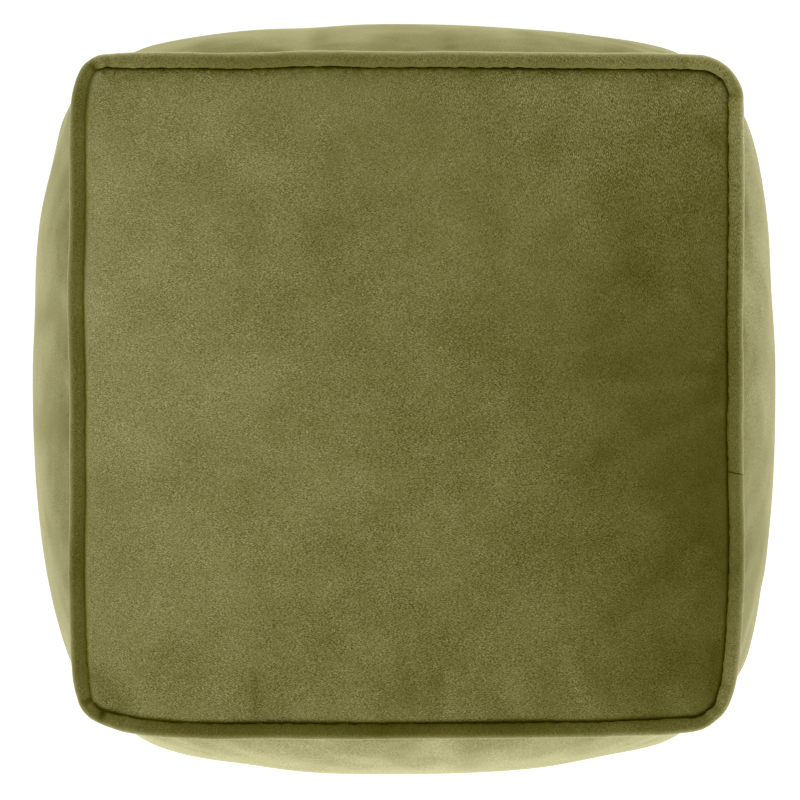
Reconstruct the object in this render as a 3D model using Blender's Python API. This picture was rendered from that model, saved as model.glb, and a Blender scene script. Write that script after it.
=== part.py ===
"""Cube pouf stool: a firmly filled velvet cube with corded piping round its top and bottom seams.

The pouf stands on the floor at z = 0, with the middle of its seams over the origin. Left and
right are -X and +X, front and back are -Y and +Y. All lengths are in metres.
"""

import math
from collections import namedtuple

import bmesh
import bpy
from mathutils import Vector

# Driving dimensions
HALF_WIDTH = 0.218  # from the middle to the cord of the piping, left and right
HALF_DEPTH = 0.2225  # the same, front and back
TOP_CORD_HEIGHT = 0.410  # from the floor to the middle of the cord
BOTTOM_CORD_HEIGHT = 0.0105
CORD_RADIUS = 0.0052  # of the piping, with its velvet
CORD_GAP = 0.0003  # between the piping and the seat it lies in
SEAM_INSET = 0.0035  # how far the panels' seam lies inside the cord, in plan and in height

# The top panel rises over a rounded shoulder and then a broad crown.
SHOULDER_WIDTH = 0.028
SHOULDER_RISE = 0.008
CROWN_RISE = 0.018
FOOT_MARGIN = 0.045  # from the bottom seam in to where the bottom panel lies on the floor

# The side panels swell between their seams.
FULLEST_HEIGHT = -0.10  # from -1 at the bottom seam to 1 at the top seam
SWELL_ROUNDNESS = 2.45  # higher is flatter in the middle of a panel
SHOULDER_POWER = 0.57  # lower is steeper beside the seams
MID_CORNER_RADIUS = 0.044  # of the upright corners at the fullest height
CORNER_DRAWN_IN = 0.003
CORNER_SEAM_DEPTH = 0.0025
CORNER_SEAM_WIDTH = 0.008
PULL_POWER = 3  # how quickly a corner's own pull fades along a side
DENT_START = 0.5  # how swollen a side panel is where its dents reach their full depth

# How finely the shapes are divided
PANEL_STEPS = 20  # along and up each panel
CORD_STEPS = 24  # along each side
CROWDING = 0.85  # 0 spaces the steps evenly, 1 crowds them against the seams
CORD_ROUNDNESS = 2  # eight sides round the cord
SAME_PLACE = 1e-6

Seam = namedtuple("Seam", "piping up cord_height")
# up is 1 at the top of the side panels and -1 at their bottom.
TOP_SEAM = Seam("top_piping", 1, TOP_CORD_HEIGHT)
BOTTOM_SEAM = Seam("bottom_piping", -1, BOTTOM_CORD_HEIGHT)

Side = namedtuple("Side", "name out_x out_y bulge fullest")
# The sides are in walking order round the pouf. bulge is how far the panel swells past the
# cord, and fullest is where along the side, from -1 to 1 towards +X or +Y.
SIDES = (
    Side("right", 1, 0, 0.0437, 0.06),
    Side("back", 0, 1, 0.0408, -0.015),
    Side("left", -1, 0, 0.0478, 0.12),
    Side("front", 0, -1, 0.0462, -0.05),
)

Corner = namedtuple("Corner", "out_x out_y radius pull_x pull_y")
# radius is the cord's own bend, and the pulls are how far the top corner is sewn in.
CORNERS = (
    Corner(-1, 1, 0.024, 0.0013, 0.0),
    Corner(1, 1, 0.026, 0.0010, 0.0013),
    Corner(-1, -1, 0.025, 0.0013, 0.0060),
    Corner(1, -1, 0.026, 0.0070, 0.0050),
)

Dent = namedtuple("Dent", "panel along up width height depth")
# along and up run from -1 to 1 over a side panel, and on the top they are X and Y. A dent
# with a depth below zero is a soft ridge.
DENTS = (
    Dent("top", -0.45, 0.35, 0.090, 0.060, -0.0015),
    Dent("top", 0.40, -0.10, 0.070, 0.100, 0.0020),
    Dent("top", -0.10, -0.60, 0.100, 0.050, 0.0015),
    Dent("left", 0.75, 0.45, 0.022, 0.110, 0.0030),
    Dent("left", 0.27, 0.55, 0.025, 0.090, 0.0025),
    Dent("left", -0.50, -0.20, 0.060, 0.050, 0.0030),
    Dent("right", 0.35, 0.30, 0.030, 0.120, 0.0025),
    Dent("right", -0.62, -0.15, 0.040, 0.090, 0.0035),
    Dent("front", -0.55, 0.35, 0.030, 0.120, 0.0025),
    Dent("front", 0.15, -0.35, 0.070, 0.050, 0.0030),
    Dent("front", 0.66, 0.20, 0.028, 0.100, 0.0030),
    Dent("back", -0.33, 0.50, 0.024, 0.120, 0.0025),
    Dent("back", 0.48, 0.05, 0.050, 0.090, 0.0030),
)

# Linear colours of the velvet
PANEL_OLIVE = (0.178, 0.171, 0.056)
PIPING_OLIVE = (0.135, 0.128, 0.038)
VELVET_ROUGHNESS = 0.92


def crowded(step):
    """Moves an even step in -1..1 towards the nearer seam."""
    reach = CROWDING * math.pi / 2
    return math.sin(step * reach) / math.sin(reach)


def fullness(place, fullest=0.0):
    """How far a panel has swollen: 1 at its fullest place and 0 at -1 and 1."""
    if place > fullest:
        from_fullest = (place - fullest) / (1 - fullest)
    else:
        from_fullest = (fullest - place) / (1 + fullest)
    return max(0.0, 1 - from_fullest**SWELL_ROUNDNESS)


def side_facing(x, y):
    """The side panel that a plan direction runs into."""
    for side in SIDES:
        if side.out_x * x + side.out_y * y >= max(abs(x), abs(y)) - SAME_PLACE:
            return side
    raise ValueError("the middle of the pouf faces no side")


def corner_at(side, along):
    """The corner at the end of a side that along lies nearer to."""
    end = 1 if along >= 0 else -1
    wanted = (side.out_x or end, side.out_y or end)
    return next(corner for corner in CORNERS if (corner.out_x, corner.out_y) == wanted)


def dent_depth(panel, along, up, half_along, half_up):
    """How far the dents of one panel push its cloth in at one place."""
    depth = 0.0
    for dent in DENTS:
        if dent.panel == panel:
            across = (along - dent.along) * half_along / dent.width
            upward = (up - dent.up) * half_up / dent.height
            depth += dent.depth * math.exp(-across * across - upward * upward)
    return depth


def plan_point(side, along, up, inset=0.0):
    """Where a side panel lies in plan; along and up run from -1 to 1 between its seams."""
    swell = fullness(up, FULLEST_HEIGHT) ** SHOULDER_POWER
    corner = corner_at(side, along)
    margin = inset * (1 - swell)
    drawn_in = margin + CORNER_DRAWN_IN * swell
    half_out, half_along = HALF_WIDTH - drawn_in, HALF_DEPTH - drawn_in
    if side.out_y:
        half_out, half_along = half_along, half_out

    # A straight run from the middle of the side, then an eighth of a turn to the corner
    radius = corner.radius + (MID_CORNER_RADIUS - corner.radius) * swell - margin
    straight = half_along - radius
    run = abs(along) * (straight + radius * math.pi / 4)
    turn = max(0.0, run - straight) / radius
    length = min(run, straight) + radius * math.sin(turn)
    out = half_out - radius + radius * math.cos(turn)

    # The swelling of the panel between its four seams, and its dents
    pillow = swell * fullness(along, side.fullest) ** SHOULDER_POWER
    half_height = (TOP_CORD_HEIGHT - BOTTOM_CORD_HEIGHT) / 2
    dents = dent_depth(side.name, along, up, half_along, half_height)
    out += side.bulge * pillow - dents * min(1.0, pillow / DENT_START)

    # The corner's own pull at the top, and the channel of its upright seam
    to_corner = (1 - abs(along)) * half_along / CORNER_SEAM_WIDTH
    channel = CORNER_SEAM_DEPTH * swell * math.exp(-to_corner * to_corner)
    pull = abs(along) ** PULL_POWER * (1 + up) / 2
    x = side.out_x * out or math.copysign(length, along)
    y = side.out_y * out or math.copysign(length, along)
    x -= corner.out_x * (corner.pull_x * pull + channel)
    y -= corner.out_y * (corner.pull_y * pull + channel)
    return x, y


def edge_rise(ring, width):
    """0 at the seam, where ring is 1, and rounding up to 1 at this width in from it."""
    inward = min(1.0, (1 - ring) * HALF_DEPTH / width)
    return math.sqrt(1 - (1 - inward) ** 2)


def flat_panel_point(x, y, up):
    """The plan place of a point of the top or bottom panel, and its ring: 1 at the seam."""
    ring = max(abs(x), abs(y))
    if ring < SAME_PLACE:
        return 0.0, 0.0, ring
    side = side_facing(x, y)
    seam_x, seam_y = plan_point(side, (y if side.out_x else x) / ring, up, SEAM_INSET)
    return seam_x * ring, seam_y * ring, ring


def cover_point(cube_point):
    """The place on the filled cover of a point on a cube that reaches from -1 to 1."""
    x, y, z = (crowded(value) for value in cube_point)
    top_height = TOP_SEAM.cord_height - SEAM_INSET
    bottom_height = BOTTOM_SEAM.cord_height + SEAM_INSET
    if abs(z) < 1 - SAME_PLACE:
        side = side_facing(x, y)
        plan_x, plan_y = plan_point(side, y if side.out_x else x, z, SEAM_INSET)
        height = bottom_height + (top_height - bottom_height) * (z + 1) / 2
    elif z < 0:
        plan_x, plan_y, ring = flat_panel_point(x, y, BOTTOM_SEAM.up)
        height = bottom_height * (1 - edge_rise(ring, FOOT_MARGIN))
    else:
        plan_x, plan_y, ring = flat_panel_point(x, y, TOP_SEAM.up)
        shoulder = edge_rise(ring, SHOULDER_WIDTH)
        crown = CROWN_RISE * fullness(x) * fullness(y)
        dents = dent_depth("top", x, y, HALF_WIDTH, HALF_DEPTH)
        height = top_height + crown + (SHOULDER_RISE - dents) * shoulder
    return Vector((plan_x, plan_y, height))


def velvet(name, colour):
    material = bpy.data.materials.new(name)
    material.use_nodes = True
    surface = material.node_tree.nodes["Principled BSDF"]
    surface.inputs["Base Color"].default_value = (*colour, 1)
    surface.inputs["Roughness"].default_value = VELVET_ROUGHNESS
    surface.inputs["Metallic"].default_value = 0
    material.diffuse_color = (*colour, 1)
    return material


def linked(name, data):
    """A new object in the scene."""
    thing = bpy.data.objects.new(name, data)
    bpy.context.scene.collection.objects.link(thing)
    return thing


def cord_path(seam):
    """The middle of the cord, once round the pouf from its front right corner."""
    path = []
    for side in SIDES:
        walk = side.out_x - side.out_y  # 1 where the walk goes towards +X or +Y, else -1
        for step in range(CORD_STEPS):
            along = crowded(walk * (2 * step / CORD_STEPS - 1))
            path.append((*plan_point(side, along, seam.up), seam.cord_height))
    return path


def cord(name, seam, radius):
    """A closed round cord along a seam."""
    curve = bpy.data.curves.new(name, "CURVE")
    curve.dimensions = "3D"
    curve.twist_mode = "Z_UP"
    curve.bevel_depth = radius
    curve.bevel_resolution = CORD_ROUNDNESS
    spline = curve.splines.new("POLY")
    path = cord_path(seam)
    spline.points.add(len(path) - 1)
    for point, place in zip(spline.points, path):
        point.co = (*place, 1)
    spline.use_cyclic_u = True
    spline.use_smooth = True
    return linked(name, curve)


def piping(seam, material):
    strip = cord(seam.piping, seam, CORD_RADIUS)
    strip.data.materials.append(material)


def piping_seat(seam):
    """The cutter that leaves a seat for the piping: the same cord, larger by the gap."""
    name = seam.piping + "_seat"
    wide_cord = cord(name + "_curve", seam, CORD_RADIUS + CORD_GAP)
    graph = bpy.context.evaluated_depsgraph_get()
    mesh = bpy.data.meshes.new_from_object(wide_cord.evaluated_get(graph))
    bpy.data.objects.remove(wide_cord)
    cutter = linked(name, mesh)
    cutter.hide_render = True
    cutter.display_type = "WIRE"
    return cutter


def filled_cover(material):
    """The filled cover: six sewn panels as the faces of one crowned and swollen solid."""
    shape = bmesh.new()
    bmesh.ops.create_cube(shape, size=2)
    bmesh.ops.subdivide_edges(shape, edges=shape.edges[:], cuts=PANEL_STEPS - 1, use_grid_fill=True)
    for vertex in shape.verts:
        vertex.co = cover_point(vertex.co)
    bmesh.ops.recalc_face_normals(shape, faces=shape.faces[:])
    mesh = bpy.data.meshes.new("filled_cover")
    shape.to_mesh(mesh)
    shape.free()
    mesh.shade_smooth()
    cover = linked("filled_cover", mesh)
    cover.data.materials.append(material)
    for seam in (TOP_SEAM, BOTTOM_SEAM):
        seat = cover.modifiers.new(seam.piping + "_seat", "BOOLEAN")
        seat.operation = "DIFFERENCE"
        seat.solver = "EXACT"
        seat.object = piping_seat(seam)


def main():
    for leftover in list(bpy.data.objects):
        bpy.data.objects.remove(leftover)
    filled_cover(velvet("panel_velvet", PANEL_OLIVE))
    piping_velvet = velvet("piping_velvet", PIPING_OLIVE)
    piping(TOP_SEAM, piping_velvet)
    piping(BOTTOM_SEAM, piping_velvet)


main()
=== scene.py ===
"""Looks of the cube pouf stool: velvet panels over a firm filling, corded piping in the seams.

Left and right are -X and +X, back and front are +Y and -Y. Lengths are in metres.
"""

import math
from collections import namedtuple

import bmesh
import bpy
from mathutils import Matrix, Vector, geometry, kdtree, noise


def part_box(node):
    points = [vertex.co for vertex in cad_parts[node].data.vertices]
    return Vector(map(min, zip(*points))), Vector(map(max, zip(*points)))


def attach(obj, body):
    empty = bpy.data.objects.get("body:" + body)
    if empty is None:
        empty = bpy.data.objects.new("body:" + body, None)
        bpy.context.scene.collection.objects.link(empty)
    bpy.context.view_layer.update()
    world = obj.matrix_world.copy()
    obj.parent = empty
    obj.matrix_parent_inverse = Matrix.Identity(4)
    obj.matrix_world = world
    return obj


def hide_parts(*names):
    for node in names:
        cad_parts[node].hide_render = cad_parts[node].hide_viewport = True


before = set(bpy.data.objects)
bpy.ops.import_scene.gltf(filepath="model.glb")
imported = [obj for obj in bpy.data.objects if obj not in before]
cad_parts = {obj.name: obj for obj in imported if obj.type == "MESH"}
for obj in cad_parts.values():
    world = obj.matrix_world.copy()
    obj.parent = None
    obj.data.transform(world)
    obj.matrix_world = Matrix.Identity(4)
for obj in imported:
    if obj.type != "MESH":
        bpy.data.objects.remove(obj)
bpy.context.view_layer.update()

# ---------------------------------------------------------------- sizes from the frame

top_low, top_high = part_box("top_piping")
bottom_low, bottom_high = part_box("bottom_piping")
CORD_RADIUS = (top_high.z - top_low.z) / 2
TOP_CORD_HEIGHT = (top_high.z + top_low.z) / 2
BOTTOM_CORD_HEIGHT = (bottom_high.z + bottom_low.z) / 2
HALF_WIDTH = bottom_high.x - CORD_RADIUS
HALF_DEPTH = bottom_high.y - CORD_RADIUS
HALF_HEIGHT = (TOP_CORD_HEIGHT - BOTTOM_CORD_HEIGHT) / 2

# ---------------------------------------------------------------- the form of the filled cover

SEAM_INSET = 0.0035  # the panels' seam inside the cord, in plan and in height
SHOULDER_WIDTH = 0.028
SHOULDER_RISE = 0.008
CROWN_RISE = 0.018
FOOT_MARGIN = 0.045  # how far the flat foot lies inside the bottom seam
FULLEST_HEIGHT = -0.10
SWELL_ROUNDNESS = 2.45
SHOULDER_POWER = 0.57
MID_CORNER_RADIUS = 0.044
CORNER_DRAWN_IN = 0.003
UPRIGHT_SEAM_DEPTH = 0.0030
UPRIGHT_SEAM_WIDTH = 0.0035
BOTTOM_CORNER_RADIUS = 0.016
FADE_POWER = 3  # how quickly what is a corner's own fades away from it
DENT_START = 0.5  # how swollen a side panel is where its dents reach their full depth
SAME_PLACE = 1e-6
ON_SEAM = 0.999  # a place on a panel past this, where 1 is the seam, is on the seam

# bulge is how far a side panel swells past the cord, fullest is where along the side, and bow is
# how far its seams curve out between the corners
Side = namedtuple("Side", "name out_x out_y bulge fullest bow")
SIDES = (
    Side("right", 1, 0, 0.0437, 0.06, 0.0012),
    Side("back", 0, 1, 0.0408, -0.015, 0.0006),
    Side("left", -1, 0, 0.0472, 0.10, 0.0012),
    Side("front", 0, -1, 0.0462, -0.05, 0.0012),
)

# How tightly the cord bends at each corner of the top seam, how far the corner is pulled in
# sideways and lengthways, how far along the seam each pull reaches, and how far the upright
# corner below it stands out where it is fullest
Corner = namedtuple("Corner", "out_x out_y radius pull_x reach_x pull_y reach_y stand_x stand_y")
CORNERS = (
    Corner(-1, 1, 0.0070, 0.0118, 0.011, 0.0000, 0.020, 0.0026, 0.0056),
    Corner(1, 1, 0.0240, -0.0018, 0.050, 0.0030, 0.030, 0.0043, 0.0041),
    Corner(-1, -1, 0.0070, 0.0062, 0.024, 0.0137, 0.028, -0.0056, 0.0018),
    Corner(1, -1, 0.0140, 0.0156, 0.025, 0.0050, 0.090, 0.0042, 0.0010),
)
CORNER_THINNING = 0.0010  # how much thinner the cord is where it turns a corner
THINNING_WIDTH = 0.018

# A soft mark on a panel; along and up run from -1 to 1 between its seams
Mark = namedtuple("Mark", "panel along up width height amount")

# Dents in the filling, by their depth; below zero they are soft ridges
DENTS = (
    Mark("top", -0.45, 0.35, 0.090, 0.060, -0.0015),
    Mark("top", 0.40, -0.10, 0.070, 0.100, 0.0020),
    Mark("top", -0.10, -0.60, 0.100, 0.050, 0.0015),
    Mark("left", 0.75, 0.45, 0.022, 0.110, 0.0030),
    Mark("left", 0.27, 0.55, 0.025, 0.090, 0.0025),
    Mark("left", -0.50, -0.20, 0.060, 0.050, 0.0030),
    Mark("right", 0.35, 0.30, 0.030, 0.120, 0.0025),
    Mark("right", -0.57, -0.15, 0.044, 0.090, 0.0040),
    Mark("front", -0.55, 0.35, 0.030, 0.120, 0.0025),
    Mark("front", 0.15, -0.35, 0.070, 0.050, 0.0030),
    Mark("front", 0.66, 0.20, 0.028, 0.100, 0.0030),
    Mark("back", -0.33, 0.50, 0.024, 0.120, 0.0025),
    Mark("back", 0.48, 0.05, 0.050, 0.090, 0.0030),
)

# ---------------------------------------------------------------- sewing and filling

PANEL_STEPS = 64  # along an edge of each panel, before one subdivision
CROWDING = 0.9  # 0 spaces the steps evenly, and 1 crowds them against the seams
CORD_STEPS = 560  # along each side of a piping
CORD_FACETS = 26  # round a piping
SEAT_GAP = 0.0002  # between the piping and the panels
ROLL_DEPTH = 0.0022  # the top panel's steep roll beside the piping
ROLL_WIDTH = 0.0030
DRIFT = 0.0007  # how far the seams wander from a true line
DRIFT_LENGTH = 0.060
PUCKER = 0.0004  # how unevenly the panels' cloth meets the piping
PUCKER_LENGTH = 0.005
CORD_REACH = 0.030  # how far from a cord its effect on the panels can show

FILLING_PRESSURE = 5
FILLING_STEPS = 20
HELD_WIDTH = 0.004  # of the cloth that each seam holds still
SEAM_EASE = 0.010  # spare cloth along the seams, as a share of its length
EASE_WIDTH = 0.045
EASE_PATCH = 0.45  # the size of the stretches of seam with spare cloth, in half sides
EASE_ON_TOP = 0.5  # the top panel's share of it
SLACK_START = 0.0020  # how far inside the fitted form the cloth starts
SLACK_WIDTH = 0.030
MOVE_CAP = 0.006
TOP_KEEPS = 0.4  # the share of the simulated creases that each panel keeps
SIDES_KEEP = 0.9

# How uneven the strip over the cord is: its thickness, as a share of the cord's, its fine ripple,
# and the pull of the stitches on its inner and lower side
STRIP_SWELL = 0.025
STRIP_SWELL_LENGTH = 0.035
STRIP_RIPPLE = 0.00012
STRIP_RIPPLE_LENGTH = 0.008
STITCH_PULL = 0.0003
STITCH_LENGTH = 0.0045

# Gathers of the strip, beside the corners and at its join
Gather = namedtuple("Gather", "x y width depth")
GATHERS = (
    Gather(-0.2090, 0.2195, 0.0008, 0.0010),
    Gather(-0.1984, 0.2214, 0.0010, 0.0009),
    Gather(-0.1890, 0.2220, 0.0020, 0.0003),
    Gather(0.1844, 0.2208, 0.0012, 0.0005),
    Gather(0.2183, 0.1995, 0.0014, 0.0006),
    Gather(-0.2140, -0.2035, 0.0012, 0.0008),
    Gather(-0.2027, -0.2135, 0.0012, 0.0010),
    Gather(0.2123, -0.1935, 0.0014, 0.0005),
    Gather(0.2056, -0.2082, 0.0014, 0.0006),
    Gather(0.2175, -0.0510, 0.0009, 0.0004),
)

# ---------------------------------------------------------------- the lie of the nap

# How light each side panel is coloured, partly its nap and partly painted light and shade (the back
# panel painted darker, as if lit from the front), and how light its strip over the cord is; how
# much painted edge-on sheen is left on the strip and on the top panel where they meet; and how
# dark and wide the painted shade on the panel is beside the cord (below zero, painted light where
# the cloth rolls up into the light instead)
Nap = namedtuple("Nap", "side strip inner_strip lip shade reach")
NAP_AND_PAINTED_LIGHT = {
    "right": Nap(0.385, 0.395, 0.20, 0.30, 0.08, 0.0040),
    "back": Nap(0.310, 0.420, 0.45, 0.10, 0.42, 0.0050),
    "left": Nap(0.382, 0.365, 0.10, 0.70, -0.25, 0.0008),
    "front": Nap(0.395, 0.345, 0.00, 0.45, 0.35, 0.0018),
}
SHADE_START = 0.001  # how soon the painted shade comes up beside the cord
LIP_WIDTH = 0.003  # of the top panel's lip beside the cord, which loses its painted edge-on sheen
CREVICE_WIDTH = 0.0014  # of the richer colour of the painted shade beside the cord
CREASE_SHADE = 0.35  # how dark the painted shade is in the sides' creases, beside the cord and in their upright seams
CORD_CREASE_WIDTH = 0.0008
UPRIGHT_CREASE_WIDTH = 0.0014
UPRIGHT_DULLNESS = 0.8  # the share of the painted edge-on sheen that is lost in an upright seam
UPRIGHT_DULL_WIDTH = 0.0045
RIM_LIGHT = 0.05  # painted rim light: how much lighter the sides are coloured where they roll up to the cord
RIM_LIGHT_WIDTH = 0.002
GATHER_SHADE = 130  # how much darker the strip is painted in the shade of a gather, for each metre of its depth
OUTER_SHEEN = 1.1  # the painted edge-on sheen of the strip on its outer side
STRIP_CREVICE_SHADE = 0.35  # how rich the strip's colour is painted, as shade, where it meets the top panel
STRIP_TURN = 0.012  # the share of a side over which the strip's tone changes at a corner

TOP_NAP = 0.430  # how light the top panel is before it is brushed: 0 is black and 1 is white
FOOT_NAP = 0.45

# Where the top panel is coloured lighter or darker over broad stretches, partly its nap and partly
# painted light and shade: light on the left, dark on the right and most so towards the front, and a
# little lighter at the far right
TOP_NAP_AND_PAINTED_LIGHT = (
    Mark("top", -1.00, 0.10, 0.170, 0.260, 0.085),
    Mark("top", 1.10, -0.15, 0.110, 0.220, -0.140),
    Mark("top", 1.00, -1.00, 0.080, 0.080, -0.035),
    Mark("top", -0.30, -1.10, 0.240, 0.070, -0.035),
    Mark("top", 0.50, 1.00, 0.150, 0.060, 0.028),
)

# Where it is coloured lighter or darker in short strokes, partly brushed nap and partly painted
# light and shade on the small puckers raised under them
Stroke = namedtuple("Stroke", "start end width tone")
STROKES = (
    Stroke((-0.204, -0.187), (-0.189, -0.204), 0.0090, -0.062),
    Stroke((-0.185, -0.179), (-0.170, -0.207), 0.0053, 0.014),
    Stroke((-0.100, -0.184), (-0.100, -0.209), 0.0033, -0.043),
    Stroke((-0.116, -0.169), (-0.122, -0.190), 0.0086, 0.018),
    Stroke((-0.033, -0.162), (-0.037, -0.202), 0.0080, 0.020),
    Stroke((-0.006, -0.166), (0.001, -0.199), 0.0060, -0.022),
    Stroke((0.012, -0.142), (0.012, -0.169), 0.0046, -0.016),
    Stroke((0.018, -0.182), (0.018, -0.209), 0.0033, -0.027),
    Stroke((0.030, -0.184), (0.030, -0.209), 0.0033, 0.047),
    Stroke((0.009, -0.129), (0.022, -0.162), 0.0120, -0.012),
    Stroke((0.072, -0.196), (0.072, -0.209), 0.0046, 0.020),
    Stroke((0.092, -0.186), (0.091, -0.202), 0.0066, -0.020),
    Stroke((0.104, -0.169), (0.122, -0.209), 0.0053, 0.035),
    Stroke((0.178, -0.196), (0.182, -0.209), 0.0073, 0.027),
    Stroke((0.203, -0.166), (0.204, -0.207), 0.0060, -0.039),
    Stroke((0.184, 0.061), (0.179, 0.065), 0.0073, 0.035),
    Stroke((0.200, 0.026), (0.198, 0.025), 0.0053, 0.031),
    Stroke((0.196, 0.010), (0.139, 0.002), 0.0040, 0.024),
    Stroke((0.129, 0.047), (0.122, 0.020), 0.0093, -0.024),
    Stroke((0.172, 0.030), (0.125, 0.018), 0.0093, -0.020),
    Stroke((0.206, 0.000), (0.122, -0.044), 0.0060, -0.016),
    Stroke((0.206, -0.011), (0.168, -0.030), 0.0073, 0.020),
    Stroke((0.129, -0.036), (0.099, -0.048), 0.0073, -0.016),
    Stroke((0.155, -0.089), (0.114, -0.124), 0.0086, 0.016),
    Stroke((0.196, -0.101), (0.129, -0.152), 0.0080, -0.018),
    Stroke((0.206, -0.113), (0.174, -0.146), 0.0060, 0.014),
    Stroke((0.188, 0.202), (0.175, 0.198), 0.0073, 0.031),
    Stroke((0.204, 0.192), (0.184, 0.184), 0.0040, 0.020),
    Stroke((0.205, 0.175), (0.206, 0.170), 0.0073, -0.035),
    Stroke((0.132, 0.140), (0.147, 0.089), 0.0133, -0.018),
    Stroke((0.093, 0.163), (0.092, 0.158), 0.0080, -0.022),
    Stroke((0.097, 0.120), (0.069, 0.089), 0.0113, 0.012),
    Stroke((0.057, -0.002), (0.075, -0.023), 0.0113, 0.016),
    Stroke((0.008, 0.047), (0.048, 0.042), 0.0066, -0.014),
    Stroke((0.002, 0.017), (-0.008, -0.040), 0.0086, -0.010),
    Stroke((-0.032, -0.056), (-0.033, -0.049), 0.0066, 0.016),
    Stroke((-0.034, 0.166), (-0.032, 0.103), 0.0080, 0.010),
    Stroke((-0.104, 0.126), (-0.107, 0.077), 0.0100, -0.014),
    Stroke((-0.061, 0.113), (-0.054, 0.070), 0.0080, -0.014),
    Stroke((-0.108, 0.057), (-0.108, 0.056), 0.0033, -0.027),
    Stroke((-0.052, 0.058), (-0.051, 0.057), 0.0033, -0.027),
    Stroke((-0.083, -0.028), (-0.082, -0.028), 0.0060, -0.020),
    Stroke((-0.087, -0.109), (-0.089, -0.152), 0.0113, -0.014),
    Stroke((-0.004, -0.061), (0.012, -0.064), 0.0040, -0.016),
    Stroke((-0.051, -0.096), (-0.044, -0.097), 0.0040, -0.014),
    Stroke((-0.201, 0.040), (-0.199, -0.069), 0.0066, -0.016),
    Stroke((0.196, -0.103), (0.186, -0.112), 0.0066, 0.050),
)
STROKE_RELIEF = 0.010  # the height of the pucker under a stroke, for a tone of 1

# Where the nap of the strip over the cord is brushed lighter or darker
Brushing = namedtuple("Brushing", "x y width tone")
STRIP_BRUSHING = (
    Brushing(0.2230, 0.1750, 0.065, 0.090),
    Brushing(0.2230, 0.0650, 0.022, -0.028),
    Brushing(0.2100, -0.1850, 0.030, 0.050),
    Brushing(0.1500, -0.2220, 0.050, 0.035),
    Brushing(-0.0100, -0.2220, 0.075, -0.030),
    Brushing(-0.1900, -0.2150, 0.025, 0.055),
    Brushing(-0.2000, 0.2220, 0.025, 0.055),
    Brushing(-0.1100, 0.2220, 0.040, -0.028),
)

# Where the side panels' nap is brushed lighter or darker
SIDE_BRUSHING = (
    Mark("back", -0.65, 0.85, 0.010, 0.030, -0.050),
    Mark("back", -0.33, 0.75, 0.007, 0.060, 0.030),
    Mark("back", -0.28, 0.80, 0.008, 0.050, -0.050),
    Mark("back", -0.15, 0.85, 0.010, 0.030, 0.030),
    Mark("back", 0.00, 0.60, 0.022, 0.050, -0.030),
    Mark("back", 0.14, 0.85, 0.006, 0.030, -0.040),
    Mark("back", 0.32, 0.70, 0.010, 0.050, 0.035),
    Mark("back", 0.40, 0.70, 0.010, 0.050, -0.035),
    Mark("back", 0.69, 0.85, 0.012, 0.030, -0.060),
    Mark("front", -0.66, 0.80, 0.012, 0.040, -0.035),
    Mark("front", -0.01, 0.90, 0.012, 0.030, -0.035),
    Mark("front", 0.115, 0.70, 0.008, 0.060, 0.030),
    Mark("front", 0.21, 0.75, 0.010, 0.050, -0.045),
    Mark("front", 0.58, 0.85, 0.012, 0.030, -0.035),
    Mark("left", 0.69, 0.85, 0.012, 0.040, -0.055),
    Mark("left", 0.51, 0.80, 0.012, 0.040, -0.030),
    Mark("left", 0.25, 0.70, 0.010, 0.060, -0.050),
    Mark("left", -0.10, 0.60, 0.014, 0.080, -0.060),
    Mark("left", -0.44, 0.85, 0.010, 0.040, -0.030),
    Mark("right", 0.58, 0.85, 0.012, 0.030, -0.035),
    Mark("right", 0.10, 0.40, 0.012, 0.050, -0.060),
    Mark("right", -0.01, 0.80, 0.020, 0.030, 0.020),
    Mark("right", -0.19, 0.60, 0.010, 0.050, -0.035),
    Mark("right", -0.47, 0.75, 0.014, 0.040, -0.060),
)


def crowded(step):
    """Moves an even step in -1..1 towards the nearer seam."""
    reach = CROWDING * math.pi / 2
    return math.sin(step * reach) / math.sin(reach)


def fullness(place, fullest=0.0):
    """How far a panel has swollen: 1 at its fullest place and 0 at -1 and 1."""
    if place > fullest:
        from_fullest = (place - fullest) / (1 - fullest)
    else:
        from_fullest = (fullest - place) / (1 + fullest)
    return max(0.0, 1 - from_fullest**SWELL_ROUNDNESS)


def bump(distance, width):
    """A soft bump: 1 at no distance and nearly 0 at twice the width."""
    return math.exp(-((distance / width) ** 2))


def wavering(place, size, seed=0):
    """Smooth chance in about -1..1 whose swings are about this size."""
    return 2 * noise.noise(Vector(place) / size + Vector((seed, 2 * seed, 3 * seed)))


def side_facing(x, y):
    """The side panel that a plan direction runs into."""
    for side in SIDES:
        if side.out_x * x + side.out_y * y >= max(abs(x), abs(y)) - SAME_PLACE:
            return side
    raise ValueError("the middle of the pouf faces no side")


def corner_at(side, along):
    """The corner at the end of a side that along lies nearer to."""
    end = 1 if along >= 0 else -1
    wanted = (side.out_x or end, side.out_y or end)
    return next(corner for corner in CORNERS if (corner.out_x, corner.out_y) == wanted)


def marked(marks, panel, along, up, half_up=HALF_HEIGHT):
    """What the marks of one panel add up to at one place."""
    total = 0.0
    for mark in marks:
        if mark.panel == panel:
            across = (along - mark.along) * HALF_WIDTH
            upward = (up - mark.up) * half_up
            total += mark.amount * bump(across, mark.width) * bump(upward, mark.height)
    return total


def pulled(place, other, half, other_half, pull, reach):
    """How far a corner's pull moves a point; it fades along the seam that runs the other way."""
    fade = math.exp(min(0.0, abs(other) - other_half) / reach) * abs(other) / other_half
    return pull * fade * min(1.0, abs(place) / half) ** FADE_POWER


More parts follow.
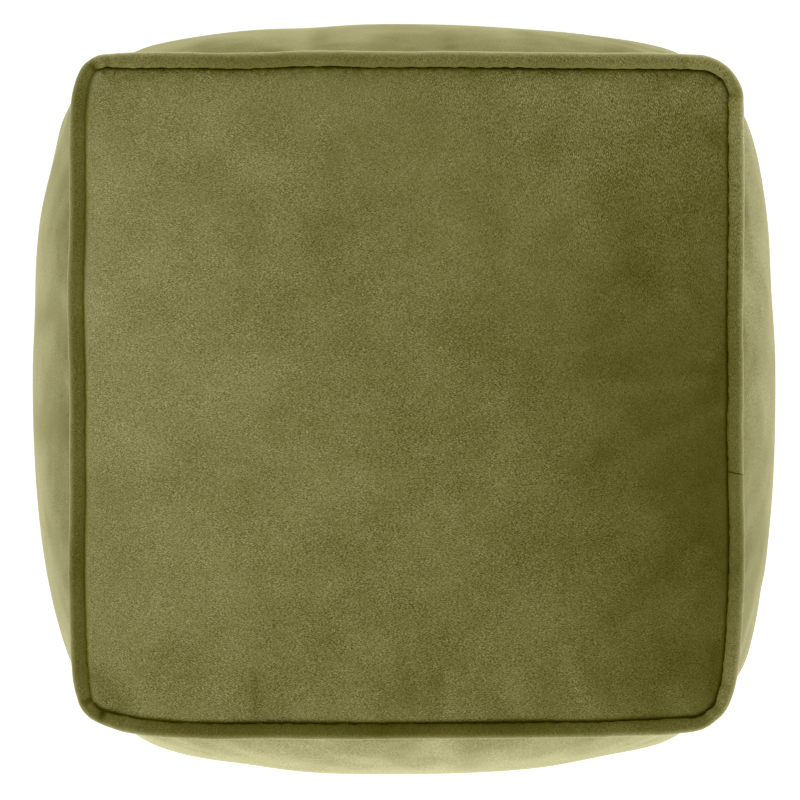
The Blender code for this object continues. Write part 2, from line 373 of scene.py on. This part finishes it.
def plan_point(side, along, up, inset=0.0):
    """Where a side panel lies in plan; along and up run from -1 to 1 between its seams."""
    swell = fullness(up, FULLEST_HEIGHT) ** SHOULDER_POWER
    high = (1 + up) / 2
    corner = corner_at(side, along)
    margin = inset * (1 - swell)
    drawn_in = margin + CORNER_DRAWN_IN * swell
    half_out, half_along = HALF_WIDTH - drawn_in, HALF_DEPTH - drawn_in
    if side.out_y:
        half_out, half_along = half_along, half_out

    # A straight run from the middle of the side, then an eighth of a turn to the corner
    radius = BOTTOM_CORNER_RADIUS + (corner.radius - BOTTOM_CORNER_RADIUS) * high
    radius += (MID_CORNER_RADIUS - radius) * swell - margin
    straight = half_along - radius
    run = abs(along) * (straight + radius * math.pi / 4)
    turn = max(0.0, run - straight) / radius
    length = min(run, straight) + radius * math.sin(turn)
    out = half_out - radius + radius * math.cos(turn)

    # The swelling of the panel between its four seams, and its dents
    full = fullness(along, side.fullest)
    pillow = swell * full**SHOULDER_POWER
    dents = marked(DENTS, side.name, along, up)
    out += side.bulge * pillow - dents * min(1.0, pillow / DENT_START)
    here = (side.out_x or along, side.out_y or along, up)
    drift = DRIFT * wavering(here, DRIFT_LENGTH / HALF_WIDTH)
    out += (1 - swell) * full * (side.bow + drift)

    # The pull of the corner, and the channel of its upright seam
    to_corner = (1 - abs(along)) * half_along
    channel = UPRIGHT_SEAM_DEPTH * swell * math.exp(-to_corner / UPRIGHT_SEAM_WIDTH)
    x = side.out_x * out or math.copysign(length, along)
    y = side.out_y * out or math.copysign(length, along)
    fade = high**FADE_POWER
    pull_x = pulled(x, y, HALF_WIDTH, HALF_DEPTH, corner.pull_x, corner.reach_x) * fade
    pull_y = pulled(y, x, HALF_DEPTH, HALF_WIDTH, corner.pull_y, corner.reach_y) * fade
    middle = swell * abs(along) ** FADE_POWER
    x += corner.out_x * (corner.stand_x * middle - pull_x - channel)
    y += corner.out_y * (corner.stand_y * middle - pull_y - channel)
    return x, y


def edge_rise(inward, width):
    """0 at the start of a rounded edge, and 1 at this width in from it."""
    share = min(1.0, max(0.0, inward / width))
    return math.sqrt(1 - (1 - share) ** 2)


def flat_panel_point(x, y, up):
    """The plan place of a point of the top or bottom panel, and its ring: 1 at the seam."""
    ring = max(abs(x), abs(y))
    if ring < SAME_PLACE:
        return 0.0, 0.0, ring
    side = side_facing(x, y)
    seam_x, seam_y = plan_point(side, (y if side.out_x else x) / ring, up, SEAM_INSET)
    return seam_x * ring, seam_y * ring, ring


def brushed(x, y):
    """How much lighter or darker the strokes leave the top panel here, partly its nap and partly
    painted light and shade on its puckers.
    """
    tone = 0.0
    for stroke in STROKES:
        start, end = Vector(stroke.start), Vector(stroke.end)
        nearest, share = geometry.intersect_point_line((x, y), start, end)
        nearest = start.lerp(end, min(1.0, max(0.0, share)))
        tone += stroke.tone * bump((Vector((x, y)) - nearest).length, stroke.width)
    return tone


def cover_point(cube_point):
    """The place on the filled cover of a point on a cube that reaches from -1 to 1."""
    x, y, z = (crowded(value) for value in cube_point)
    top_height = TOP_CORD_HEIGHT - SEAM_INSET
    bottom_height = BOTTOM_CORD_HEIGHT + SEAM_INSET
    if abs(z) < 1 - SAME_PLACE:
        side = side_facing(x, y)
        plan_x, plan_y = plan_point(side, y if side.out_x else x, z, SEAM_INSET)
        height = bottom_height + (top_height - bottom_height) * (z + 1) / 2
        return Vector((plan_x, plan_y, height))
    plan_x, plan_y, ring = flat_panel_point(x, y, math.copysign(1, z))
    inward = (1 - ring) * HALF_DEPTH
    if z < 0:
        height = bottom_height * (1 - edge_rise(inward, FOOT_MARGIN))
        return Vector((plan_x, plan_y, height))
    crown = CROWN_RISE * fullness(x) * fullness(y)
    dents = marked(DENTS, "top", x, y, HALF_DEPTH)
    height = top_height + crown
    height += (SHOULDER_RISE - dents) * edge_rise(inward, SHOULDER_WIDTH)
    beside_cord = inward - (CORD_RADIUS - SEAM_INSET)
    height -= ROLL_DEPTH * (1 - edge_rise(beside_cord, ROLL_WIDTH))
    return Vector((plan_x, plan_y, height))


def cord_point(walk, up, height):
    """The middle of the cord at walk, which goes from 0 to 4 round the sides."""
    side = SIDES[math.floor(walk) % len(SIDES)]
    direction = side.out_x - side.out_y
    along = direction * (2 * (walk % 1) - 1)
    x, y = plan_point(side, along, up)
    return Vector((x, y, height + DRIFT * wavering((x, y, up), DRIFT_LENGTH, seed=5)))


def strip_nap(walk):
    """How light the strip over the cord is; its tone changes where it turns a corner."""
    corner = round(walk)
    before, after = NAP_AND_PAINTED_LIGHT[SIDES[corner - 1].name], NAP_AND_PAINTED_LIGHT[SIDES[corner % len(SIDES)].name]
    share = min(1.0, max(0.0, 0.5 + (walk - corner) / STRIP_TURN))
    return before.strip + (after.strip - before.strip) * share


CordPlace = namedtuple("CordPlace", "middle ahead out side radius gathers nap")


def cord_places(up, height):
    """The middle of a cord at each step, with its directions, thickness, gathers and nap."""
    count = CORD_STEPS * len(SIDES)
    middles = [cord_point(step / CORD_STEPS, up, height) for step in range(count)]
    places = []
    for step, middle in enumerate(middles):
        ahead = (middles[(step + 1) % count] - middles[step - 1]).normalized()
        out = ahead.cross(Vector((0, 0, 1))).normalized()
        side = SIDES[step // CORD_STEPS]
        gathers = 0.0
        for gather in GATHERS:
            distance = math.dist(middle.xy, (gather.x, gather.y))
            gathers += gather.depth * bump(distance, gather.width + CORD_RADIUS / 4)
        walk = step / CORD_STEPS
        to_corner = abs(walk - round(walk)) * 2 * HALF_WIDTH
        radius = CORD_RADIUS - CORNER_THINNING * bump(to_corner, THINNING_WIDTH)
        nap = strip_nap(walk)
        for brushing in STRIP_BRUSHING:
            distance = math.dist(middle.xy, (brushing.x, brushing.y))
            nap += brushing.tone * bump(distance, brushing.width)
        places.append(CordPlace(middle, ahead, out, side, radius, gathers, nap))
    return places


# ---------------------------------------------------------------- pieces

def linked(name, data):
    """A new object in the scene."""
    thing = bpy.data.objects.new(name, data)
    bpy.context.scene.collection.objects.link(thing)
    return thing


def mesh_piece(name, shape):
    """Makes a finished bmesh an object whose faces point outwards."""
    bmesh.ops.recalc_face_normals(shape, faces=shape.faces[:])
    mesh = bpy.data.meshes.new(name)
    shape.to_mesh(mesh)
    shape.free()
    mesh.shade_smooth()
    return linked(name, mesh)


def cover_grid():
    """The cover on its fitted form, before the filling swells it."""
    shape = bmesh.new()
    bmesh.ops.create_cube(shape, size=2)
    bmesh.ops.subdivide_edges(shape, edges=shape.edges[:], cuts=PANEL_STEPS - 1, use_grid_fill=True)
    grid = shape.verts.layers.float_vector.new("grid")
    for vertex in shape.verts:
        vertex[grid] = vertex.co
        vertex.co = cover_point(vertex.co)
    return mesh_piece("velvet_cover", shape)


def from_seam(point):
    """How far a grid point lies from the nearer piped seam, in metres of cloth."""
    x, y, z = (crowded(value) for value in point)
    if abs(point.z) > 1 - SAME_PLACE:
        return (1 - max(abs(x), abs(y))) * HALF_DEPTH
    return (1 - abs(z)) * HALF_HEIGHT


def from_upright_seam(point):
    """How far a grid point of a side panel lies from its nearer upright seam."""
    return (1 - min(abs(crowded(point.x)), abs(crowded(point.y)))) * HALF_DEPTH


def applied(thing):
    """The mesh of a thing with its modifiers applied."""
    graph = bpy.context.evaluated_depsgraph_get()
    return bpy.data.meshes.new_from_object(
        thing.evaluated_get(graph), preserve_all_data_layers=True, depsgraph=graph
    )


def plump(cover):
    """Lets the filling press the cover outwards, with a little cloth to spare at the seams."""
    mesh = cover.data
    grid = [Vector(item.vector) for item in mesh.attributes["grid"].data]
    fitted = [vertex.co.copy() for vertex in mesh.vertices]
    normals = [vertex.normal.copy() for vertex in mesh.vertices]
    held = cover.vertex_groups.new(name="held")
    taut = cover.vertex_groups.new(name="taut")
    for number, (vertex, point) in enumerate(zip(mesh.vertices, grid)):
        distance = from_seam(point)
        is_top = point.z > 1 - SAME_PLACE
        is_foot = point.z < SAME_PLACE - 1
        if is_foot or distance < HELD_WIDTH:
            held.add([number], 1.0, "REPLACE")
        else:
            vertex.co -= normals[number] * SLACK_START * (1 - bump(distance, SLACK_WIDTH))
        patch = min(1.0, max(0.0, 0.5 + 0.6 * wavering(point, EASE_PATCH, seed=3)))
        ease = (EASE_ON_TOP if is_top else 1.0) * bump(distance, EASE_WIDTH) * patch
        taut.add([number], 1 - ease, "REPLACE")

    cloth = cover.modifiers.new("filling", "CLOTH")
    cloth.collision_settings.use_collision = False
    settings = cloth.settings
    settings.mass = 0.3
    settings.tension_stiffness = 80
    settings.compression_stiffness = 60
    settings.shear_stiffness = 30
    settings.bending_stiffness = 0.5
    settings.use_pressure = True
    settings.uniform_pressure_force = FILLING_PRESSURE
    settings.effector_weights.gravity = 0
    settings.vertex_group_mass = "held"
    settings.vertex_group_shrink = "taut"
    settings.shrink_min = -SEAM_EASE
    settings.shrink_max = 0
    for step in range(1, FILLING_STEPS + 1):
        bpy.context.scene.frame_set(step)
    swollen = applied(cover)
    for vertex, point, before, after in zip(mesh.vertices, grid, fitted, swollen.vertices):
        keeps = TOP_KEEPS if point.z > 1 - SAME_PLACE else SIDES_KEEP
        move = (after.co - before) * keeps
        vertex.co = before + move * min(1.0, MOVE_CAP / max(move.length, SAME_PLACE))
    cover.modifiers.clear()
    cover.vertex_groups.clear()
    bpy.context.scene.frame_set(1)


def nap_of_top(x, y):
    """How light the top panel is coloured here: its nap together with painted light and shade."""
    broad = marked(TOP_NAP_AND_PAINTED_LIGHT, "top", x / HALF_WIDTH, y / HALF_DEPTH, HALF_DEPTH)
    return TOP_NAP + broad + brushed(x, y)


def nap_of_sides(x, y):
    """How light the side panels are coloured here: each side's own tone, partly nap and partly
    painted light and shade, joined at the corners.
    """
    shares = [max(0.0, side.out_x * x + side.out_y * y) ** 8 for side in SIDES]
    return sum(share * NAP_AND_PAINTED_LIGHT[side.name].side for share, side in zip(shares, SIDES)) / sum(shares)


def brushed_side(point):
    """How much lighter or darker the nap of a side panel is brushed at a grid point."""
    x, y, z = (crowded(value) for value in point)
    side = side_facing(x, y)
    return marked(SIDE_BRUSHING, side.name, y if side.out_x else x, z)


def finish_cover(mesh, cords):
    """Seats the cloth against both cords, and stores what the velvet reads at each point.

    nap is how light the cloth is coloured, partly its pile and partly painted light and shade; seam
    is how dark the painted shade is in a seam; edge_sheen is how much painted sheen pales it
    edge-on; and crevice is how rich the colour of the painted shade is beside the cord.
    """
    tree = kdtree.KDTree(len(cords))
    for number, place in enumerate(cords):
        tree.insert(place.middle, number)
    tree.balance()
    names = ("nap", "seam", "edge_sheen", "crevice")
    for name in names:
        mesh.attributes.new(name, "FLOAT", "POINT")
    nap, seam, edge, crevice = (mesh.attributes[name] for name in names)
    grid = [Vector(item.vector) for item in mesh.attributes["grid"].data]
    for number, (vertex, point) in enumerate(zip(mesh.vertices, grid)):
        x, y = vertex.co.xy
        is_top, is_foot = point.z > ON_SEAM, point.z < -ON_SEAM
        is_seam = (is_top or is_foot) and max(abs(point.x), abs(point.y)) > ON_SEAM
        dark, sheen, deep = 0.0, 1.0, 0.0
        if is_top:
            vertex.co.z += STROKE_RELIEF * brushed(x, y)
            nap.data[number].value = nap_of_top(x, y)
        elif is_foot:
            nap.data[number].value = FOOT_NAP
        else:
            nap.data[number].value = nap_of_sides(x, y) + brushed_side(point)
            to_seam = from_upright_seam(point)
            # Painted shade in the upright seams, whose painted sheen is dulled
            dark = CREASE_SHADE * bump(to_seam, UPRIGHT_CREASE_WIDTH)
            sheen -= UPRIGHT_DULLNESS * bump(to_seam, UPRIGHT_DULL_WIDTH)
        middle, nearest, distance = tree.find(vertex.co)
        if distance < CORD_REACH:
            place = cords[nearest]
            pucker = PUCKER * wavering(middle, PUCKER_LENGTH, seed=2)
            clear = place.radius - place.gathers / 2 + SEAT_GAP + pucker
            offset = vertex.co - middle
            offset -= place.ahead * offset.dot(place.ahead)
            distance = offset.length
            if distance < clear or is_seam:
                vertex.co += offset * (clear / distance - 1)
            tones = NAP_AND_PAINTED_LIGHT[place.side.name]
            beyond = max(0.0, distance - clear)
            if is_top:
                # Painted shade and its richer colour on the top panel beside the cord, where its
                # painted sheen fades
                starting = 1 - math.exp(-beyond / SHADE_START)
                dark = tones.shade * starting * math.exp(-beyond / tones.reach)
                sheen -= (1 - tones.lip) * bump(beyond, LIP_WIDTH)
                deep = bump(beyond, CREVICE_WIDTH)
            else:
                # Painted shade in the sides' crease under the cord, and a painted rim light just
                # beyond it
                crease = CREASE_SHADE * bump(beyond, CORD_CREASE_WIDTH)
                dark = max(dark, crease)
                sheen *= 1 - crease
                nap.data[number].value += RIM_LIGHT * bump(beyond, RIM_LIGHT_WIDTH)
        seam.data[number].value = dark
        edge.data[number].value = sheen
        crevice.data[number].value = deep


def filled_cover(cords):
    """The six sewn panels over their filling."""
    cover = cover_grid()
    plump(cover)
    smooth = cover.modifiers.new("smooth", "SUBSURF")
    smooth.levels = smooth.render_levels = 1
    cover.data = applied(cover)
    cover.modifiers.clear()
    finish_cover(cover.data, cords)
    return cover


def piping(name, places):
    """A strip of velvet round a cord: a grid that is wrapped round the seam and closed."""
    shape = bmesh.new()
    bmesh.ops.create_grid(shape, x_segments=len(places), y_segments=CORD_FACETS, size=0.5)
    layers = shape.verts.layers.float
    names = ("nap", "edge_sheen", "crevice")
    for layer_name in names:
        layers.new(layer_name)
    nap, edge, crevice = (layers[layer_name] for layer_name in names)
    for vertex in shape.verts:
        step = round((vertex.co.x + 0.5) * len(places)) % len(places)
        facet = round((vertex.co.y + 0.5) * CORD_FACETS) % CORD_FACETS
        place = places[step]
        turn = 2 * math.pi * facet / CORD_FACETS
        out = math.cos(turn) * place.out + math.sin(turn) * Vector((0, 0, 1))
        swell = STRIP_SWELL * wavering(place.middle, STRIP_SWELL_LENGTH, seed=4)
        radius = place.radius * (1 + swell)
        stitched = max(0.0, -math.cos(turn)) + max(0.0, -math.sin(turn))
        spot = place.middle + out * radius
        radius += STITCH_PULL * stitched * wavering(spot, STITCH_LENGTH, seed=6)
        radius += STRIP_RIPPLE * wavering(spot, STRIP_RIPPLE_LENGTH, seed=1)
        gathered = place.gathers * max(0.0, math.sin(turn - math.pi / 4))
        vertex.co = place.middle + out * (radius - gathered)
        # Painted shade in the gathers
        vertex[nap] = place.nap - GATHER_SHADE * gathered
        # Painted edge-on sheen, least on the inner side and most on the outer
        inner = NAP_AND_PAINTED_LIGHT[place.side.name].inner_strip
        outwards = min(1.0, max(0.0, 0.5 + math.cos(turn) * 2))
        vertex[edge] = inner + (OUTER_SHEEN - inner) * outwards
        # Painted richer shade colour where the strip meets the top panel
        vertex[crevice] = STRIP_CREVICE_SHADE * max(0.0, -math.cos(turn)) ** 6
    bmesh.ops.remove_doubles(shape, verts=shape.verts[:], dist=SAME_PLACE)
    return mesh_piece(name, shape)


# ---------------------------------------------------------------- materials

# The velvet's green and blue lie this far under its red, whatever its tone, and its blue lies
# further under in the painted shade of a crevice
GREEN_UNDER = 0.016
BLUE_UNDER = 0.2
CREVICE_BLUE_UNDER = 0.22
PICTURE_GAMMA = 2.2

CLOUD_TONE = 0.14  # the swing of the nap's soft clouds
CLOUD_SIZE = 0.045
SHEEN_TONE = 0.40  # how much painted sheen pales the velvet's colour edge-on
SEAM_SPECK = 0.004  # how finely the painted shade in a seam is broken up
GRAIN_SIZE = 0.0010
GRAIN_ACROSS = (0.9, 3.2, 1.5)  # how fine it is along X, Y and Z where it lies across the pouf
GRAIN_ALONG = (2.6, 0.8, 1.5)
GRAIN_TILT = (0.7, 0.5, 0.3)
GRAIN_TURNS = (0.05, 0.30)  # it turns from across to along while x + y goes from one to the other
GRAIN_SHOWS = (0.30, 0.44)  # it grows from half to full strength between these tones of nap
GRAIN_STRENGTH = 0.46
PATCH_STRENGTH = 0.16  # how much stronger it is in patches
PATCH_SIZE = 0.012
GRAIN_LOST = 0.35  # the share of it that is lost edge-on
GRAIN_HEIGHT = 0.0004
JOIN_BACK = -0.0515  # where the ends of the top strip meet on the right side
JOIN_SLANT = 0.2
JOIN_SHADE = 0.13


class Shade:
    """A number, colour or direction on its way to the shader; sums on numbers add Math nodes."""

    def __init__(self, finish, socket):
        self.finish = finish
        self.socket = socket

    def sum(self, operation, *values):
        return self.finish.node("Math", {"operation": operation}, dict(enumerate(values)))

    def __add__(self, other):
        return self.sum("ADD", self, other)

    def __sub__(self, other):
        return self.sum("SUBTRACT", self, other)

    def __rsub__(self, other):
        return self.sum("SUBTRACT", other, self)

    def __mul__(self, other):
        return self.sum("MULTIPLY", self, other)

    def __abs__(self):
        return self.sum("ABSOLUTE", self)

    __radd__ = __add__
    __rmul__ = __mul__

    def at_least(self, low):
        return self.sum("MAXIMUM", self, low)

    def between(self, low, high):
        """0 up to low and 1 from high on, smoothly."""
        settings = {"interpolation_type": "SMOOTHSTEP"}
        inputs = {"Value": self, "From Min": low, "From Max": high}
        return self.finish.node("MapRange", settings, inputs)


class Finish:
    """A material in the making."""

    def __init__(self, name, surface):
        self.material = bpy.data.materials.new(name)
        self.material.use_nodes = True
        self.tree = self.material.node_tree
        self.surface = self.tree.nodes["Principled BSDF"]
        for socket, value in surface.items():
            self.feed(socket, value)

    def feed(self, socket, value, node=None):
        """Sets a socket of the surface, or of another node, to a value or a link."""
        target = (node or self.surface).inputs[socket]
        if isinstance(value, Shade):
            self.tree.links.new(value.socket, target)
        else:
            target.default_value = value

    def node(self, kind, settings, inputs, output=0):
        """Adds a node of any kind, and gives one of its outputs."""
        made = self.tree.nodes.new("ShaderNode" + kind)
        for setting, value in settings.items():
            setattr(made, setting, value)
        for socket, value in inputs.items():
            self.feed(socket, value, made)
        return Shade(self, made.outputs[output])

    def attribute(self, name):
        """What the piece's mesh stores under this name."""
        return self.node("Attribute", {"attribute_name": name}, {}, "Fac")

    def axes(self, place):
        """The three parts of a place."""
        node = self.node("SeparateXYZ", {}, {"Vector": place}).socket.node
        return [Shade(self, node.outputs[axis]) for axis in "XYZ"]

    def stretched(self, place, scale):
        """A place drawn out along its axes, then tilted so that no flat panel shows rings."""
        inputs = {"Vector": place, "Scale": scale, "Rotation": GRAIN_TILT}
        return self.node("Mapping", {}, inputs)

    def chance(self, place, size, detail=2.0, roughness=0.5):
        """Smooth noise in about -0.5..0.5 whose swings are about this size."""
        inputs = {"Vector": place, "Scale": 1 / size, "Detail": detail, "Roughness": roughness}
        return self.node("TexNoise", {}, inputs, "Fac") - 0.5

    def olive(self, tone, deep):
        """The velvet's colour: deep olive to pale straw as it lightens, richest in the painted
        shade of a crevice.
        """
        blue = (tone - BLUE_UNDER - CREVICE_BLUE_UNDER * deep).at_least(0.0)
        channels = {"Red": tone, "Green": tone - GREEN_UNDER, "Blue": blue}
        mixed = self.node("CombineColor", {}, channels)
        return self.node("Gamma", {}, {"Color": mixed, "Gamma": PICTURE_GAMMA})


def velvet(name, grain_share=1.0, join=None):
    """Short-pile velvet: a soft cloudy nap, a fine grain, painted shade in its seams, and a painted
    pale sheen where seen edge-on.
    """
    surface = {
        "Roughness": 0.95,
        "Specular IOR Level": 0.03,
        "Sheen Weight": 0.03,
        "Sheen Roughness": 0.4,
        "Sheen Tint": (0.80, 0.74, 0.25, 1),
    }
    finish = Finish(name, surface)
    place = finish.node("TexCoord", {}, {}, "Object")
    x, y, z = finish.axes(place)
    nap = finish.attribute("nap")
    clouds = finish.chance(place, CLOUD_SIZE, detail=5, roughness=0.6)
    facing = finish.node("LayerWeight", {}, {"Blend": 0.5}, "Facing")
    # The nap's tone, its clouds, and a painted sheen that pales the colour where the cloth is seen
    # edge-on
    tone = nap + CLOUD_TONE * clouds + SHEEN_TONE * facing * finish.attribute("edge_sheen")
    if join:
        tone = tone - JOIN_SHADE * join(x, y, z)
    # Painted shade in the seams and beside the cords, broken up finely
    seam = finish.attribute("seam")
    tone = tone * (1 - seam * (1 + 2 * finish.chance(place, SEAM_SPECK)))

    # The grain lies across the pouf at its left and front, and along it at its far right
    across = finish.chance(finish.stretched(place, GRAIN_ACROSS), GRAIN_SIZE, detail=0)
    along = finish.chance(finish.stretched(place, GRAIN_ALONG), GRAIN_SIZE, detail=0)
    grain = across + (along - across) * (x + y).between(*GRAIN_TURNS)
    patchy = finish.chance(place, PATCH_SIZE, detail=1).between(-0.15, 0.15)
    shows = 0.5 + 0.5 * nap.between(*GRAIN_SHOWS)
    strength = shows * (GRAIN_STRENGTH + PATCH_STRENGTH * patchy)
    tone = tone + grain_share * grain * strength * (1 - GRAIN_LOST * facing)
    finish.feed("Base Color", finish.olive(tone, finish.attribute("crevice")))
    relief = {"Height": grain, "Distance": GRAIN_HEIGHT, "Strength": 0.2}
    finish.feed("Normal", finish.node("Bump", {}, relief))
    return finish.material


def join_of_strip(x, y, z):
    """1 on the short slanted line where the ends of the top strip meet, on the right side."""
    off_line = abs(y + JOIN_SLANT * (x - HALF_WIDTH) - JOIN_BACK)
    near = 1 - off_line.between(0.0002, 0.0007)
    return near * x.between(0.2, 0.21) * z.between(TOP_CORD_HEIGHT, TOP_CORD_HEIGHT + 0.001)


# ---------------------------------------------------------------- studio

Softbox = namedtuple("Softbox", "name place size power")
SOFTBOXES = (
    Softbox("front", (-0.3, -2.2, 2.0), 1.8, 29),
    Softbox("back", (0.3, 1.8, 2.5), 1.8, 23),
)


def studio():
    """A pale floor and soft light from all round, a little stronger from the front."""
    scene = bpy.context.scene
    scene.view_settings.view_transform = "Standard"
    world = bpy.data.worlds.new("studio")
    scene.world = world
    world.use_nodes = True
    sky = world.node_tree.nodes["Background"]
    sky.inputs["Color"].default_value = (1, 1, 1, 1)
    sky.inputs["Strength"].default_value = 0.55

    half_floor = 6
    middle_of_pouf = Vector((0, 0, 0.3))
    shape = bmesh.new()
    bmesh.ops.create_grid(shape, x_segments=1, y_segments=1, size=half_floor)
    floor = mesh_piece("floor", shape)
    surface = {
        "Base Color": (0.9, 0.9, 0.9, 1),
        "Roughness": 0.9,
        "Emission Color": (1, 1, 1, 1),
        "Emission Strength": 0.5,
    }
    floor.data.materials.append(Finish("pale_floor", surface).material)

    for box in SOFTBOXES:
        light = bpy.data.lights.new(box.name, "AREA")
        light.size = box.size
        light.energy = box.power
        lamp = linked(box.name, light)
        lamp.location = box.place
        aim = middle_of_pouf - lamp.location
        lamp.rotation_euler = aim.to_track_quat("-Z", "Y").to_euler()


def photo_camera():
    """Straight above the pouf, as in the photograph, with the front edge at the bottom."""
    metres_per_pixel = 0.664e-3
    above_seam = 3.0
    middle_column, middle_row, picture = 406.3, 395.5, 800
    data = bpy.data.cameras.new("camera")
    data.lens = data.sensor_width * above_seam / (picture * metres_per_pixel)
    camera = linked("camera", data)
    camera.location = (
        (picture / 2 - middle_column) * metres_per_pixel,
        (middle_row - picture / 2) * metres_per_pixel,
        TOP_CORD_HEIGHT + above_seam,
    )
    bpy.context.scene.camera = camera


top_cord = cord_places(1, TOP_CORD_HEIGHT)
bottom_cord = cord_places(-1, BOTTOM_CORD_HEIGHT)
cover = filled_cover(top_cord + bottom_cord)
cover.data.materials.append(velvet("panel_velvet"))
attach(cover, "root")
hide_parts("filled_cover")

strip_velvet = velvet("piping_velvet", 0.75, join_of_strip)
for node, name, places in (
    ("top_piping", "top_velvet_piping", top_cord),
    ("bottom_piping", "bottom_velvet_piping", bottom_cord),
):
    strip = piping(name, places)
    strip.data.materials.append(strip_velvet)
    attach(strip, "root")
    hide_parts(node)

studio()
photo_camera()
